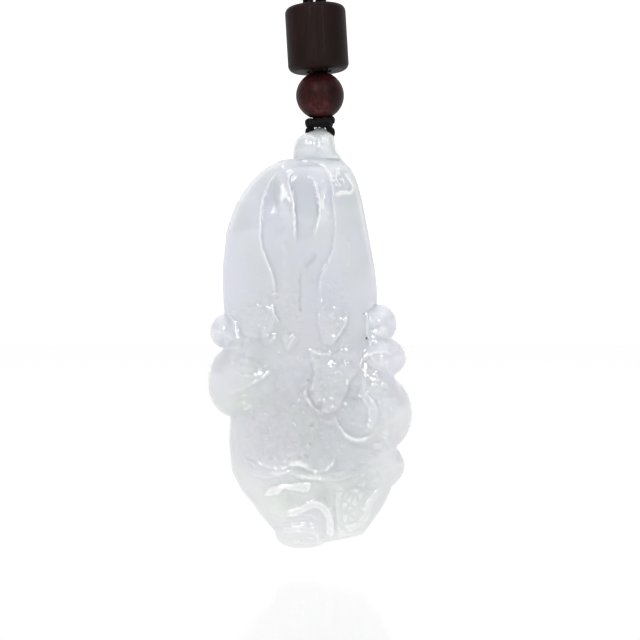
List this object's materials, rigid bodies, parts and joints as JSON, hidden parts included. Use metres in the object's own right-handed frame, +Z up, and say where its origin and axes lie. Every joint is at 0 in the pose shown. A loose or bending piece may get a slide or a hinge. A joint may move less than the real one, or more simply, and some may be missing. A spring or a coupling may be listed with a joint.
{
  "type": "chinese jade pendant necklace",
  "caption": "Carved cabbage-shaped jade pendant hung from a knotted cord with a barrel bead and a round wooden bead.",
  "frame": {"origin": "where the neck cord lies on the nape of the neck, on the cord's middle line", "axes": "+Z up, along the hanging pendant; the carved front faces -Y; +X is to the right seen from the front"},
  "size_m": [0.1186, 0.1188, 0.302],
  "materials": {
    "jade": "polished translucent jade",
    "thin_cord": "waxed twisted thread",
    "red_wood": "satin turned wood",
    "dark_wood": "satin turned wood",
    "neck_cord": "twisted nylon cord"
  },
  "bodies": {
    "necklace": {"hanging_loop": "thin_cord", "lower_knot": "thin_cord", "round_bead": "red_wood", "middle_knot": "thin_cord", "barrel_bead": "dark_wood", "neck_cord": "neck_cord"},
    "jade": {"jade_pendant": "jade"}
  },
  "joints": [
    {"name": "pendant_rock", "type": "hinge", "parent": "necklace", "child": "jade", "pos_m": [0, -0.112, -0.25], "axis": [1, 0, 0], "range_deg": [-20, 20]}
  ]
}
